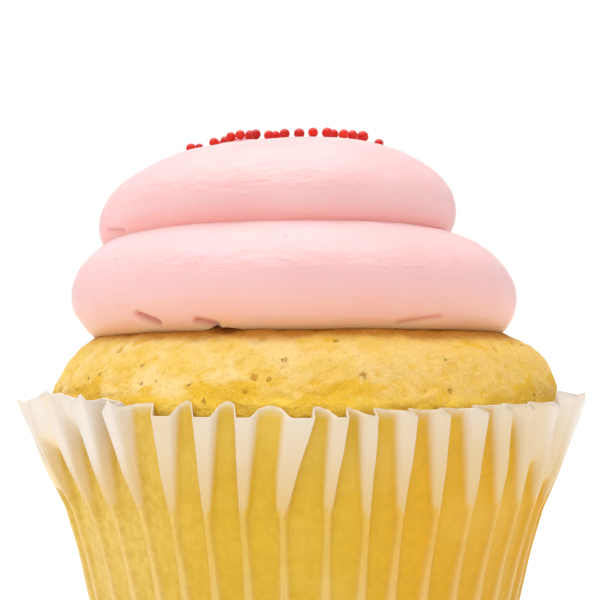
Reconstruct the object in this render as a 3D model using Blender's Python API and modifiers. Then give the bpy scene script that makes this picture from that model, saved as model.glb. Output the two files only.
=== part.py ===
"""A cupcake: sponge baked in a pleated paper case, topped with one piped rope of buttercream.

Metres, +Z up. The origin is the middle of the case's flat base. The front, at azimuth
270 degrees, faces -Y. The rope is piped anticlockwise: it starts at the back right, lies
once round the sponge, climbs on to itself at the back, lies round again and coils in.
"""

import math

import bmesh
import bpy
import numpy as np

MM = 0.001
GAP = 0.3 * MM  # between pieces that touch
FACET_ROOM = 0.15 * MM  # so that the flat facets of the sponge and the case stay apart too

# Paper case: (height, radius) of the outermost fold lines, from the base up.
PLEATS = 44
PAPER = 0.2 * MM
BASE_RADIUS = 23.6 * MM
BASE_CURVE = 0.35 * MM  # height at which the base has turned up into the wall
FOLD_HEIGHTS = np.array([0.0, 0.9, 8.0, 18.2, 24.4, 30.5]) * MM
FOLD_RADII = np.array([24.2, 25.0, 26.9, 29.5, 31.2, 32.4]) * MM
PLEAT_DEPTHS = np.array([0.1, 0.3, 0.9, 1.1, 1.8, 1.7]) * MM
RIDGE_HALF_WIDTHS = np.array([0.5, 0.5, 0.45, 0.45, 0.8, 1.05]) * MM
FLANK_WIDTHS = np.array([0.4, 0.4, 0.45, 0.5, 0.8, 1.0]) * MM
KINK_HEIGHT = FOLD_HEIGHTS[3]  # the folds stand free of the sponge above this
# How far the rim has spread beyond its fold radius, at degrees to the right of the front.
SPREAD_TURNS = np.array([-180, -100, -77, -48, -34, -27, 0, 50, 60, 77, 95, 180])
SPREADS = np.array([0.9, 2.0, 2.5, 2.1, 1.4, 0.2, 0.0, 0.2, 1.2, 1.8, 1.5, 0.9]) * MM
VALLEY_RISE = 1.1 * MM  # how far the inner folds' tips stand above the outer folds' at the rim

# Sponge: the crown's outline from the case's rim to the icing, then a dome under the icing.
CROWN_HEIGHTS = np.array([31.9, 32.7, 33.9, 35.1, 36.3, 37.5, 38.5]) * MM
CROWN_RADII = np.array([30.5, 30.7, 30.15, 29.55, 28.7, 27.3, 25.4]) * MM
SIDE_HEIGHTS = np.array([1.4, 8.0, 18.2, 24.4, 30.6]) * MM  # rows inside the case
SHOULDER = 0.45 * MM  # how much fuller the crown is on its right side
DOME_TOP = 44.3 * MM
DOME_EDGE_RADIUS = 25.4 * MM
FRONT_RISE = 0.8 * MM  # how much higher the crown's edge is at the front than at the sides
SPONGE_SEGMENTS = 64

# Icing: the piped rope's cross-section is an ellipse, stated at stations along the rope, where
# one turn is 1. The rows are turns, the ring's radius, the section's height, its half width and
# half height, and how far the turn is off centre to the right.
ROPE_START_AZIMUTH = math.radians(40)
ROPE = np.array([
    (0.00, 15.0, 42.5, 9.5, 6.8, -1.0),
    (0.10, 16.2, 43.3, 10.8, 7.6, -1.0),
    (0.39, 16.4, 43.5, 11.0, 7.9, -1.0),
    (0.47, 16.4, 44.1, 11.0, 8.1, -1.0),
    (0.64, 16.4, 44.1, 11.0, 8.0, -1.1),
    (0.82, 16.3, 43.6, 11.0, 7.8, -1.1),
    (0.90, 16.3, 43.1, 11.0, 7.4, -1.1),
    (1.00, 16.3, 43.2, 11.0, 7.5, -1.0),
    (1.34, 6.5, 52.1, 15.6, 9.0, -3.3),
    (1.40, 6.0, 52.2, 15.9, 9.1, -3.4),
    (1.64, 6.0, 53.4, 15.8, 9.1, -3.2),
    (1.90, 6.0, 54.2, 15.7, 8.8, -3.1),
    (2.10, 6.0, 55.4, 12.5, 8.0, -2.4),
    (2.30, 6.0, 56.6, 10.5, 6.5, -1.8),
    (2.50, 4.5, 57.3, 8.0, 5.5, -1.2),
    (2.70, 0.5, 57.9, 6.5, 4.8, -1.0),
]).T
ROPE_TURNS, ROPE_COLUMNS = ROPE[0], ROPE[1:] * MM
SEAM_ROUNDING = 0.4 * MM
ICING_SEGMENTS = 64
ICING_UNDER_ROWS = 4
ICING_OUTER_ROWS = 20

# The icing's surface is found along rays that fan out from a curve inside it to one near its
# skin, from the lower edge to the middle of the top. Columns are the radius and height of
# each ray's start, and of a place that it passes.
FAN = np.array([
    (15, 43.0, 25.3, 39.0),
    (15, 43.5, 27.6, 43.5),
    (14, 46.0, 25.0, 48.6),
    (9, 51.0, 21.4, 51.0),
    (8, 53.0, 22.0, 54.0),
    (7, 53.0, 19.5, 58.0),
    (6, 52.0, 13.0, 61.5),
    (3, 50.0, 6.0, 62.0),
    (0, 50.0, 0.0, 62.0),
]) * MM


def material(name, colour, roughness):
    """A Principled finish of one colour."""
    made = bpy.data.materials.new(name)
    made.use_nodes = True
    shader = made.node_tree.nodes["Principled BSDF"]
    shader.inputs["Base Color"].default_value = (*colour, 1)
    shader.inputs["Roughness"].default_value = roughness
    shader.inputs["Metallic"].default_value = 0
    return made


def piece(name, bm, collection, finish):
    """The bmesh as a named object with its faces pointing outwards."""
    bmesh.ops.recalc_face_normals(bm, faces=bm.faces)
    mesh = bpy.data.meshes.new(name)
    bm.to_mesh(mesh)
    bm.free()
    mesh.materials.append(finish)
    made = bpy.data.objects.new(name, mesh)
    collection.objects.link(made)
    return made


def drum(levels, segments):
    """A closed unit drum, spun from one edge with a vertex at each level. Its ends are poles."""
    bm = bmesh.new()
    radii = [0.0] + [1.0] * (len(levels) - 2) + [0.0]
    edge = [bm.verts.new((r, 0, z)) for r, z in zip(radii, levels)]
    wires = [bm.edges.new(pair) for pair in zip(edge, edge[1:])]
    full = 2 * math.pi
    bmesh.ops.spin(bm, geom=edge + wires, axis=(0, 0, 1), angle=full, steps=segments, use_merge=True)
    bmesh.ops.remove_doubles(bm, verts=bm.verts, dist=1e-5)
    return bm


def azimuth(co):
    return math.atan2(co.y, co.x)


# ---------------------------------------------------------------- paper case


def pleat_edges(height):
    """Angles of one pleat's four fold lines from its middle, and whether each is an outer fold."""
    radius = np.interp(height, FOLD_HEIGHTS, FOLD_RADII)
    ridge = np.interp(height, FOLD_HEIGHTS, RIDGE_HALF_WIDTHS) / radius
    foot = ridge + np.interp(height, FOLD_HEIGHTS, FLANK_WIDTHS) / radius
    return [(-foot, False), (-ridge, True), (ridge, True), (foot, False)]


def valley_radius(height):
    """Radius of the case's inner folds."""
    return np.interp(height, FOLD_HEIGHTS, FOLD_RADII - PLEAT_DEPTHS)


def rim_spread(turn):
    """How far the rim has spread outwards at an azimuth in radians."""
    from_front = (math.degrees(turn) - 270 + 180) % 360 - 180
    return np.interp(from_front, SPREAD_TURNS, SPREADS)


def case_row(height):
    """The places round one row of the case, four to a pleat."""
    outer = np.interp(height, FOLD_HEIGHTS, FOLD_RADII)
    above_kink = np.clip((height - KINK_HEIGHT) / (FOLD_HEIGHTS[-1] - KINK_HEIGHT), 0, 1)
    rise = VALLEY_RISE * above_kink
    row = []
    for pleat in range(PLEATS):
        middle = 2 * math.pi * (pleat + 0.5) / PLEATS
        for turn, is_ridge in pleat_edges(height):
            radius = outer + rim_spread(middle) * above_kink if is_ridge else valley_radius(height)
            level = height if is_ridge else height + rise
            row.append((radius * math.cos(middle + turn), radius * math.sin(middle + turn), level))
    return row


def make_case(collection, finish):
    """The base disc's rim is extruded up the wall one row at a time, then given its thickness."""
    bm = bmesh.new()
    disc = bmesh.ops.create_circle(bm, cap_ends=True, segments=4 * PLEATS, radius=BASE_RADIUS)["verts"]
    first = sorted(disc, key=lambda v: azimuth(v.co) % (2 * math.pi))
    for vert, (x, y, _) in zip(first, case_row(0)):
        shrink = BASE_RADIUS / math.hypot(x, y)
        vert.co = (x * shrink, y * shrink, 0)
    below = first
    for height in [BASE_CURVE, *FOLD_HEIGHTS[1:]]:
        ring = [bm.edges.get((a, b)) for a, b in zip(below, below[1:] + below[:1])]
        grown = set(bmesh.ops.extrude_edge_only(bm, edges=ring)["geom"])
        above = [next(e.other_vert(v) for e in v.link_edges if e.other_vert(v) in grown) for v in below]
        for vert, place in zip(above, case_row(height)):
            vert.co = place
        below = above
    case = piece("paper_case", bm, collection, finish)
    wall = case.modifiers.new("wall", "SOLIDIFY")
    wall.thickness = PAPER
    wall.offset = -1
    return case


# -------------------------------------------------------------------- sponge


def front_rise(height, turn):
    """How much the crown is raised towards the front, from nothing at the case's rim."""
    share = np.interp(height, CROWN_HEIGHTS[[0, -1]], [0, 1])
    return FRONT_RISE * share * -math.sin(turn)


def dome(radius, turn):
    """Height of the sponge's hidden top under the icing."""
    fall = DOME_TOP - CROWN_HEIGHTS[-1]
    reach = radius / DOME_EDGE_RADIUS
    return DOME_TOP - fall * reach**2 + reach * front_rise(DOME_TOP, turn)


def sponge_profile():
    """(radius, height) up the sponge, from the middle of its base to the middle of its top."""
    inside = PAPER + GAP
    points = [(0.0, inside), (BASE_RADIUS - 2 * inside, inside)]
    for height in SIDE_HEIGHTS:
        points.append((valley_radius(height) - inside - FACET_ROOM, height))
    points += list(zip(CROWN_RADII, CROWN_HEIGHTS))
    points += [(r, None) for r in np.linspace(DOME_EDGE_RADIUS, 0, 5)[1:]]
    return points


def make_sponge(collection, finish):
    profile = sponge_profile()
    levels = np.linspace(0, 1, len(profile))
    bm = drum(levels, SPONGE_SEGMENTS)
    for vert in bm.verts:
        row = int(round(vert.co.z * (len(profile) - 1)))
        radius, height = profile[row]
        turn = azimuth(vert.co)
        if height is None:
            height = dome(radius, turn)
        elif radius > 0:
            radius += SHOULDER * np.interp(height, CROWN_HEIGHTS[[0, 4, -1]], [0, 1, 0]) * math.cos(turn)
            height += front_rise(height, turn)
        vert.co = (radius * math.cos(turn), radius * math.sin(turn), height)
    return piece("cake", bm, collection, finish)


# --------------------------------------------------------------------- icing


def rope_sections(turn):
    """The rope's cross-sections that the half plane at each azimuth cuts: one row for each turn."""
    along = (turn - ROPE_START_AZIMUTH) % (2 * math.pi) / (2 * math.pi)
    found = []
    for lap in range(3):
        place = along + lap
        if place <= ROPE_TURNS[-1]:
            station = [np.interp(place, ROPE_TURNS, column) for column in ROPE_COLUMNS]
            radius, height, half_width, half_height, offset = station
            found.append((radius + offset * math.cos(turn), height, half_width, half_height))
    return found


def way_out(start, end, sections):
    """The place where the ray from start through end leaves the rope's sections."""
    ray = end - start
    ray = ray / np.hypot(*ray)
    exits = []
    for radius, height, half_width, half_height in sections:
        scale = np.array([half_width, half_height])
        at, go = (start - (radius, height)) / scale, ray / scale
        a, b, c = go @ go, at @ go, at @ at - 1
        under_root = b * b - a * c
        if under_root > 0:
            exits.append((math.sqrt(under_root) - b) / a)
    exits.sort()
    furthest = exits[-1]
    for other in exits[:-1]:
        near = max(SEAM_ROUNDING - (furthest - other), 0) / SEAM_ROUNDING
        furthest += near * near * SEAM_ROUNDING / 4
    return start + ray * furthest


def icing_edge(sections, turn):
    """Where the lowest section's outer side comes down to the sponge's dome."""
    radius, height, half_width, half_height = sections[0]
    level = dome(DOME_EDGE_RADIUS, turn) + GAP
    reach = DOME_EDGE_RADIUS
    for _ in range(12):
        drop = (level - height) / half_height
        reach = radius + half_width * math.sqrt(max(1 - drop * drop, 0))
        level = 0.5 * (level + dome(reach, turn) + GAP)
    return np.array([reach, level])


def make_icing(collection, finish):
    levels = np.linspace(0, 1, ICING_UNDER_ROWS + ICING_OUTER_ROWS)
    edge_level = levels[ICING_UNDER_ROWS]
    fan_shares = np.linspace(0, 1, len(FAN))
    bm = drum(levels, ICING_SEGMENTS)
    for vert in bm.verts:
        turn = azimuth(vert.co)
        is_pole = math.hypot(vert.co.x, vert.co.y) < 0.5
        sections = rope_sections(turn)
        edge = icing_edge(sections, turn)
        if vert.co.z <= edge_level + 1e-6:
            radius = edge[0] * vert.co.z / edge_level
            height = dome(radius, turn) + GAP
        else:
            share = (vert.co.z - edge_level) / (1 - edge_level)
            ray = np.array([np.interp(share, fan_shares, column) for column in FAN.T])
            start, end = ray[:2], ray[2:]
            if share < fan_shares[1]:
                end = edge + (end - edge) * (share / fan_shares[1])
            radius, height = way_out(start, end, sections)
        if is_pole:
            radius = 0.0
        vert.co = (radius * math.cos(turn), radius * math.sin(turn), height)
    return piece("icing", bm, collection, finish)


def main():
    for old in list(bpy.data.objects):
        bpy.data.objects.remove(old)
    collection = bpy.data.collections.new("cupcake")
    bpy.context.scene.collection.children.link(collection)
    make_case(collection, material("greased_paper", (0.86, 0.72, 0.42), 0.5))
    make_sponge(collection, material("sponge", (0.90, 0.64, 0.22), 0.8))
    make_icing(collection, material("buttercream", (0.96, 0.62, 0.60), 0.45))


main()
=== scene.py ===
"""Looks of a cupcake: pleated paper case, sponge, piped buttercream and sugar balls.

Laid out as an add-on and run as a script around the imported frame. Metres, +Z up. The front
faces -Y, and azimuths are measured from +X towards +Y, so the front is at 270 degrees.
"""

import math

import bmesh
import bpy
import numpy as np
from bpy.props import FloatProperty, FloatVectorProperty, IntProperty, PointerProperty
from mathutils import Matrix, Vector, noise
from mathutils.bvhtree import BVHTree


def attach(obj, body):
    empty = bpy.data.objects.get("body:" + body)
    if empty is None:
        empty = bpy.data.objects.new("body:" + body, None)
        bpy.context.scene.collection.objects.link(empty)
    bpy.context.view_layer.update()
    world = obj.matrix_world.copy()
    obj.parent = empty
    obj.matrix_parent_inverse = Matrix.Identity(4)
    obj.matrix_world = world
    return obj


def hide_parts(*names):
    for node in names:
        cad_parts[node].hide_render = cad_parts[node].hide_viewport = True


bl_info = {
    "name": "Cupcake",
    "version": (1, 0, 0),
    "blender": (4, 5, 0),
    "location": "3D View > Sidebar > Cupcake",
    "description": "Makes an iced cupcake in its paper case, piece by piece",
    "category": "Object",
}

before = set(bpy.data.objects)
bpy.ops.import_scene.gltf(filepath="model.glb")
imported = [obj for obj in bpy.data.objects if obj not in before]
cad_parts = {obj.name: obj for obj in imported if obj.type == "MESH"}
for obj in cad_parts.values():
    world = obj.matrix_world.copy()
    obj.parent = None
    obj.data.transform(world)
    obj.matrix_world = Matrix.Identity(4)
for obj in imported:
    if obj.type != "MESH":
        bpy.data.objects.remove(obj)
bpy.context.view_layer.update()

MM = 0.001
FULL_TURN = 2 * math.pi
WELD = 0.001 * MM


def shade(code):
    """Linear colour of a six-figure web colour."""
    parts = [int(code[i:i + 2], 16) / 255 for i in (0, 2, 4)]
    return tuple(p / 12.92 if p <= 0.04045 else ((p + 0.055) / 1.055) ** 2.4 for p in parts)


# ------------------------------------------------------------------ shapes shared by the pieces

# Paper case: heights, the outer folds' radii, and the radii of the inner folds, from the base up.
FOLD_HEIGHTS = np.array([0.0, 0.9, 8.0, 13.0, 18.2, 24.4, 30.5]) * MM
FOLD_RADII = np.array([24.2, 25.0, 26.8, 27.9, 29.4, 31.2, 32.4]) * MM
VALLEY_RADII = np.array([24.0, 24.75, 26.4, 27.5, 28.9, 30.15, 31.2]) * MM
BASE_RADIUS = 23.6 * MM
KINK_HEIGHT = FOLD_HEIGHTS[4]
RIM_HEIGHT = FOLD_HEIGHTS[-1]
# How much the rim's paper spreads for each step up above the rim's height.
RIM_FLARE = 0.2
# How far the sponge lies inside the paper's outer face low down, and at the rim, and from what
# height it changes.
PAPER_ROOM, PAPER_ROOM_AT_RIM, PAPER_ROOM_FROM = 0.16 * MM, 0.2 * MM, 25 * MM

# The rim's shape round the case. The rows are degrees to the right of the front, how far the rim
# has spread and how far it stands up, both in millimetres, and the share of the free height
# above which the paper between the ridges comes off the sponge as well.
RIM = np.array([
    (-180, 0.9, 0.3, 0.9),
    (-130, 0.9, 0.0, 0.5),
    (-100, 1.0, -0.4, 0.3),
    (-88, 1.7, -0.1, 0.1),
    (-77, 2.6, 0.45, 0.05),
    (-69, 2.4, 1.1, 0.05),
    (-65, 2.2, 1.4, 0.4),
    (-57, 2.1, 1.75, 0.5),
    (-48, 2.1, 1.2, 0.6),
    (-40, 1.9, 0.35, 0.75),
    (-34, 1.4, 0.1, 1.2),
    (-28, 0.1, -0.1, 1.3),
    (0, 0.0, -0.1, 1.3),
    (34, 0.0, 0.1, 1.2),
    (39, 0.0, 0.3, 0.9),
    (46, 0.0, 0.3, 0.6),
    (51, 0.2, 0.3, 0.4),
    (58, 1.1, 0.4, 0.2),
    (68, 1.6, 0.4, 0.1),
    (77, 1.8, 0.3, 0.1),
    (86, 1.4, -0.1, 0.2),
    (100, 0.9, -0.4, 0.3),
    (130, 0.9, 0.0, 0.5),
    (180, 0.9, 0.3, 0.9),
]).T

# Sponge: the crown's outline from the case's rim to the icing, then a dome under the icing.
CROWN_HEIGHTS = np.array([31.9, 32.7, 33.9, 35.1, 36.3, 37.5, 38.5]) * MM
CROWN_RADII = np.array([31.0, 30.85, 30.3, 29.65, 28.8, 27.4, 25.4]) * MM
DOME_TOP = 44.3 * MM
DOME_EDGE_RADIUS = 25.4 * MM
# How much fuller the crown is at the right, and how much higher its top is at the front.
SHOULDER, FRONT_RISE = 0.45 * MM, 0.8 * MM

# Icing: the piped rope's elliptical cross-section at stations along it, where one turn is 1.
# The rows are turns, the ring's radius, the section's height, its half width and half
# height, and how far the turn is off centre to the right.
ROPE_START = math.radians(40)
ROPE_LAPS = 3
ROPE = np.array([
    (0.00, 15.0, 42.5, 9.5, 6.8, -1.0),
    (0.10, 16.2, 43.3, 10.8, 7.6, -1.0),
    (0.39, 16.4, 43.5, 11.0, 7.9, -1.0),
    (0.47, 16.4, 44.1, 11.0, 8.1, -1.0),
    (0.64, 16.4, 44.1, 11.0, 8.0, -1.1),
    (0.82, 16.3, 43.6, 11.0, 7.8, -1.1),
    (0.90, 16.3, 43.1, 11.0, 7.4, -1.1),
    (1.00, 16.3, 43.2, 11.0, 7.5, -1.0),
    (1.34, 6.5, 52.1, 15.6, 9.0, -3.3),
    (1.40, 6.0, 52.2, 15.9, 9.1, -3.4),
    (1.64, 6.0, 53.4, 15.8, 9.1, -3.2),
    (1.90, 6.0, 54.2, 15.7, 8.8, -3.1),
    (2.10, 6.0, 55.4, 12.5, 8.0, -2.4),
    (2.30, 6.0, 56.6, 10.5, 6.5, -1.8),
    (2.50, 4.5, 57.3, 8.0, 5.5, -1.2),
    (2.70, 0.5, 57.6, 5.0, 4.6, -1.0),
]).T
ROPE_TURNS, ROPE_COLUMNS = ROPE[0], ROPE[1:] * MM
# How far the icing fills the groove between two laps.
SEAM_ROUNDING = 0.25 * MM
# Where the icing doesn't quite come down to the sponge: azimuth and half width in degrees, the
# height of the sponge there, and how far the icing's edge is raised.
GAP_AT, GAP_HALF_WIDTH = 251.0, 6.5
GAP_FROM, GAP_RISE = 38.7 * MM, 0.45 * MM

# The icing's skin is found along rays that fan out from inside it. Columns are the radius and
# height of each ray's start, and of a place that it passes.
FAN = np.array([
    (15, 43.0, 25.3, 39.0),
    (15, 43.5, 27.6, 43.5),
    (14, 46.0, 25.0, 48.6),
    (9, 51.0, 21.4, 51.0),
    (8, 53.0, 22.0, 54.0),
    (7, 53.0, 19.5, 58.0),
    (6, 52.0, 13.0, 61.5),
    (3, 50.0, 6.0, 62.0),
    (0, 50.0, 0.0, 62.0),
]).T * MM
FAN_SHARES = np.linspace(0, 1, FAN.shape[1])


def smooth_through(x, stations, values):
    """A smooth curve through the values at the stations, read at x."""
    slope = np.gradient(values, stations)
    i = np.clip(np.searchsorted(stations, x, side="right") - 1, 0, len(stations) - 2)
    width = stations[i + 1] - stations[i]
    t = np.clip((x - stations[i]) / width, 0, 1)
    rise = values[i + 1] - values[i]
    bend = (slope[i] * width - rise) * (1 - t) + (rise - slope[i + 1] * width) * t
    return values[i] + rise * t + t * (1 - t) * bend


def ease(low, high, x):
    """0 below low, 1 above high, and smooth between."""
    t = np.clip((x - low) / (high - low), 0, 1)
    return t * t * (3 - 2 * t)


def front_rise(height, turn):
    """How much the sponge's crown is raised towards the front, from nothing at the rim."""
    share = np.clip((height - CROWN_HEIGHTS[0]) / (CROWN_HEIGHTS[-1] - CROWN_HEIGHTS[0]), 0, 1)
    return -FRONT_RISE * share * np.sin(turn)


def in_gap(turn):
    """1 in the middle of the gap under the icing, falling to 0 at its ends."""
    return ease(0, 1, 1 - np.abs(np.degrees(turn) - GAP_AT) / GAP_HALF_WIDTH)


def dome(radius, turn):
    """Height of the sponge under the icing."""
    reach = radius / DOME_EDGE_RADIUS
    fall = DOME_TOP - CROWN_HEIGHTS[-1]
    return DOME_TOP - fall * reach**2 + reach * front_rise(DOME_TOP, turn)


def valley_radius(height):
    """Radius of the case's inner folds, where the paper lies on the sponge."""
    flare = np.maximum(height - RIM_HEIGHT, 0) * RIM_FLARE
    return np.interp(height, FOLD_HEIGHTS, VALLEY_RADII) + flare


def rim_shape(from_front):
    """Spread, rise and looseness of the rim at degrees to the right of the front."""
    turn = (from_front + 180) % 360 - 180
    spread, rise, loose_from = [np.interp(turn, RIM[0], column) for column in RIM[1:]]
    return spread * MM, rise * MM, loose_from


def ridge_radius(height, from_front):
    """Radius of the case's outer folds, which stand free above the kink."""
    free = np.clip((height - KINK_HEIGHT) / (RIM_HEIGHT - KINK_HEIGHT), 0, 1)
    return np.interp(height, FOLD_HEIGHTS, FOLD_RADII) + rim_shape(from_front)[0] * free


def sponge_radius(height):
    """Radius of the sponge's side and crown, on average round it."""
    room = np.interp(height, [PAPER_ROOM_FROM, RIM_HEIGHT], [PAPER_ROOM, PAPER_ROOM_AT_RIM])
    side = valley_radius(np.minimum(height, RIM_HEIGHT)) - room
    crown = smooth_through(height, CROWN_HEIGHTS, CROWN_RADII)
    share = ease(RIM_HEIGHT, CROWN_HEIGHTS[0], height)
    return side + (crown - side) * share


def around(turn, radius, height):
    """Places in space at azimuths, radii and heights."""
    return np.stack([radius * np.cos(turn), radius * np.sin(turn), height + 0 * turn], -1)


def noise_at(places, size, seed=0, octaves=1):
    """Smooth noise, about -1 to 1, with bumps of the given size."""
    points = (places.reshape(-1, 3) / size + seed * 7.31).tolist()
    if octaves == 1:
        values = [noise.noise(p) for p in points]
    else:
        values = [noise.fractal(p, 0.8, 2.0, octaves) for p in points]
    return np.array(values).reshape(places.shape[:-1])


def bumps(places, *layers):
    """Noise of several sizes added up: each layer is a height, a size and a seed."""
    return sum(height * noise_at(places, size, seed) for height, size, seed in layers)


def grid_normals(places):
    """Outward directions on a skin laid out as places[row, segment]."""
    along = np.roll(places, -1, 1) - np.roll(places, 1, 1)
    up = np.gradient(places, axis=0)
    normal = np.cross(along, up)
    return normal / np.maximum(np.linalg.norm(normal, axis=-1, keepdims=True), 1e-12)


def sleeve(name, places, readings=None):
    """A new object: a closed sleeve through places[row, segment], from a grid bent round.

    A row that lies on the axis closes to a pole. Readings are values at each row and
    segment, kept as attributes for the material.
    """
    rows, segments = places.shape[:2]
    bm = bmesh.new()
    bmesh.ops.create_grid(bm, x_segments=segments, y_segments=rows - 1, size=1)
    mesh = bpy.data.meshes.new(name)
    bm.to_mesh(mesh)
    bm.free()
    co = np.empty(len(mesh.vertices) * 3)
    mesh.vertices.foreach_get("co", co)
    share = co.reshape(-1, 3) / 2 + 0.5
    segment = np.rint(share[:, 0] * segments).astype(int) % segments
    row = np.rint(share[:, 1] * (rows - 1)).astype(int)
    mesh.vertices.foreach_set("co", places[row, segment].ravel())
    for title, values in (readings or {}).items():
        reading = mesh.attributes.new(title, "FLOAT", "POINT")
        reading.data.foreach_set("value", values[row, segment].astype(np.float32))
    mesh.update()
    return new_object(name, mesh)


def new_object(name, mesh):
    """The mesh as an object in the scene: welded, its faces turned outwards, shaded smooth."""
    bm = bmesh.new()
    bm.from_mesh(mesh)
    bmesh.ops.remove_doubles(bm, verts=bm.verts, dist=WELD)
    bmesh.ops.recalc_face_normals(bm, faces=bm.faces)
    bm.to_mesh(mesh)
    bm.free()
    mesh.shade_smooth()
    made = bpy.data.objects.new(name, mesh)
    bpy.context.scene.collection.objects.link(made)
    return made


# --------------------------------------------------------------------------------- materials


class Finish:
    """A material under construction: adds nodes, and links them by name."""

    def __init__(self, name):
        self.material = bpy.data.materials.new(name)
        self.material.use_nodes = True
        self.tree = self.material.node_tree
        self.shader = self.tree.nodes["Principled BSDF"]

    def set(self, **values):
        """Uniform values on the shader's own sockets."""
        for title, value in values.items():
            self.shader.inputs[title.replace("_", " ")].default_value = value

    def node(self, kind, links=None, **values):
        """A node with its settings, and with links from other nodes' outputs to its inputs."""
        made = self.tree.nodes.new(kind)
        for title, value in values.items():
            setattr(made, title, value)
        for title, source in (links or {}).items():
            self.feed(made.inputs[title], source)
        return made

    def feed(self, socket, source):
        """Links an output to a socket, or sets the socket's value."""
        if isinstance(source, bpy.types.NodeSocket):
            self.tree.links.new(source, socket)
        else:
            socket.default_value = source

    def position(self, stretch=(1, 1, 1)):
        """Object coordinates, stretched."""
        coordinate = self.node("ShaderNodeTexCoord")
        mapping = self.node("ShaderNodeMapping", {"Vector": coordinate.outputs["Object"]})
        mapping.inputs["Scale"].default_value = stretch
        return mapping.outputs["Vector"]

    def noise(self, size, detail=2.0, stretch=(1, 1, 1), roughness=0.5):
        """Noise with features of a size in metres."""
        links = {"Vector": self.position(stretch), "Scale": 1 / size}
        links.update({"Detail": detail, "Roughness": roughness})
        return self.node("ShaderNodeTexNoise", links).outputs["Fac"]

    def dots(self, size, edge, chance, ragged=None):
        """Scattered dots, 0 to 1, in cells of a size, of which a chance leaves most empty.

        The edge gives the distances from a dot's middle at which it starts and is full, in
        cells. Ragged, where it is given, is added to the distance.
        """
        links = {"Vector": self.position(), "Scale": 1 / size}
        cells = self.node("ShaderNodeTexVoronoi", links).outputs
        distance = cells["Distance"]
        if ragged is not None:
            distance = self.maths("ADD", distance, ragged)
        draw = self.node("ShaderNodeSeparateColor", {"Color": cells["Color"]}).outputs[0]
        return self.times(self.stretch(distance, *edge), self.stretch(draw, *chance))

    def axis(self, name):
        """One of the object coordinates."""
        return self.node("ShaderNodeSeparateXYZ", {"Vector": self.position()}).outputs[name]

    def reading(self, name):
        """A value kept on the mesh."""
        return self.node("ShaderNodeAttribute", attribute_name=name).outputs["Fac"]

    def stretch(self, value, low, high, to_low=0.0, to_high=1.0, smooth=True):
        """The value's range from low to high, laid over another range."""
        links = {"Value": value, "From Min": low, "From Max": high, "To Min": to_low, "To Max": to_high}
        kind = "SMOOTHSTEP" if smooth else "LINEAR"
        return self.node("ShaderNodeMapRange", links, interpolation_type=kind).outputs["Result"]

    def maths(self, operation, first, second=0.0):
        """One sum with two values."""
        made = self.node("ShaderNodeMath", operation=operation)
        self.feed(made.inputs[0], first)
        self.feed(made.inputs[1], second)
        return made.outputs[0]

    def times(self, first, second):
        """Two values multiplied."""
        return self.maths("MULTIPLY", first, second)

    def mix(self, share, first, second):
        """A colour between two colours."""
        made = self.node("ShaderNodeMix", data_type="RGBA")
        self.feed(made.inputs["Factor"], share)
        for socket, colour in ((made.inputs[6], first), (made.inputs[7], second)):
            self.feed(socket, colour if isinstance(colour, bpy.types.NodeSocket) else (*colour, 1))
        return made.outputs[2]

    def coats(self, colour, *coats):
        """A colour with others laid over it in turn: the share that each covers, and its colour."""
        for share, coat in coats:
            colour = self.mix(share, colour, coat)
        return colour

    def bell(self, height, reach):
        """1 at a height, fading to 0 at a reach above and below it."""
        away = self.maths("ABSOLUTE", self.maths("SUBTRACT", self.axis("Z"), height))
        return self.stretch(away, reach, 0)

    def relief(self, height, depth, before=None):
        """A bump of a depth in metres, on top of another."""
        links = {"Height": height, "Distance": depth, "Strength": 1.0}
        if before is not None:
            links["Normal"] = before
        return self.node("ShaderNodeBump", links).outputs["Normal"]

    def finish(self, colour, roughness=None, normal=None):
        """The material, with what varies over its surface joined to the shader."""
        self.feed(self.shader.inputs["Base Color"], colour)
        if roughness is not None:
            self.feed(self.shader.inputs["Roughness"], roughness)
        if normal is not None:
            self.feed(self.shader.inputs["Normal"], normal)
        return self.material


def dress(piece, material, slot, *nodes):
    """Gives a piece its material, hangs it on the frame's root, and hides the frame's parts that it stands
    for.
    """
    piece.data.materials.clear()
    piece.data.materials.append(material)
    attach(piece, "root")
    if nodes:
        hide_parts(*nodes)


# -------------------------------------------------------------------------------- paper case

# Pleats that show at the front, left to right. In degrees to the right of the front: a fold's place
# low down, and its ridge's left and right corners at the rim. In millimetres: how far the valley
# to its right stands above the ridges, and how far its steep side tucks in under the ridge.
FRONT_PLEATS = (
    (-72.0, -87.5, -84.5, 0.2, 0.3),
    (-63.5, -76.0, -72.5, 0.2, 0.6),
    (-52.5, -57.5, -53.5, 0.7, 0.3),
    (-43.8, -46.0, -42.7, 1.45, 1.2),
    (-35.3, -38.3, -36.4, 1.5, 1.2),
    (-27.8, -29.2, -25.4, 1.6, -0.5),
    (-20.0, -20.6, -17.3, 1.6, -0.6),
    (-12.3, -12.4, -9.9, 1.15, -0.5),
    (-4.3, -2.0, 1.9, 1.0, 0.1),
    (4.6, 6.3, 8.2, 0.9, 0.1),
    (12.5, 11.5, 13.4, 0.85, 0.2),
    (19.6, 18.6, 20.8, 0.75, 0.5),
    (27.7, 25.3, 27.7, 0.7, 0.8),
    (36.3, 33.2, 36.7, 0.8, 1.5),
    (44.7, 40.6, 43.2, 0.75, 1.6),
    (52.8, 47.8, 50.4, 0.8, 1.4),
    (61.0, 55.0, 58.5, 1.8, 0.4),
    (68.5, 72.0, 77.0, 0.2, 0.4),
    (76.5, 85.0, 88.0, 0.8, 0.3),
)
# Pleats to the right of this lean right, and the others at the front lean left. To the left and
# to the right of the front, they lie over more and more between two distances, in degrees.
LEANS_RIGHT_FROM = -8
LIES_OVER_LEFT, LIES_OVER_RIGHT = (30, 36), (6, 24)
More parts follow.
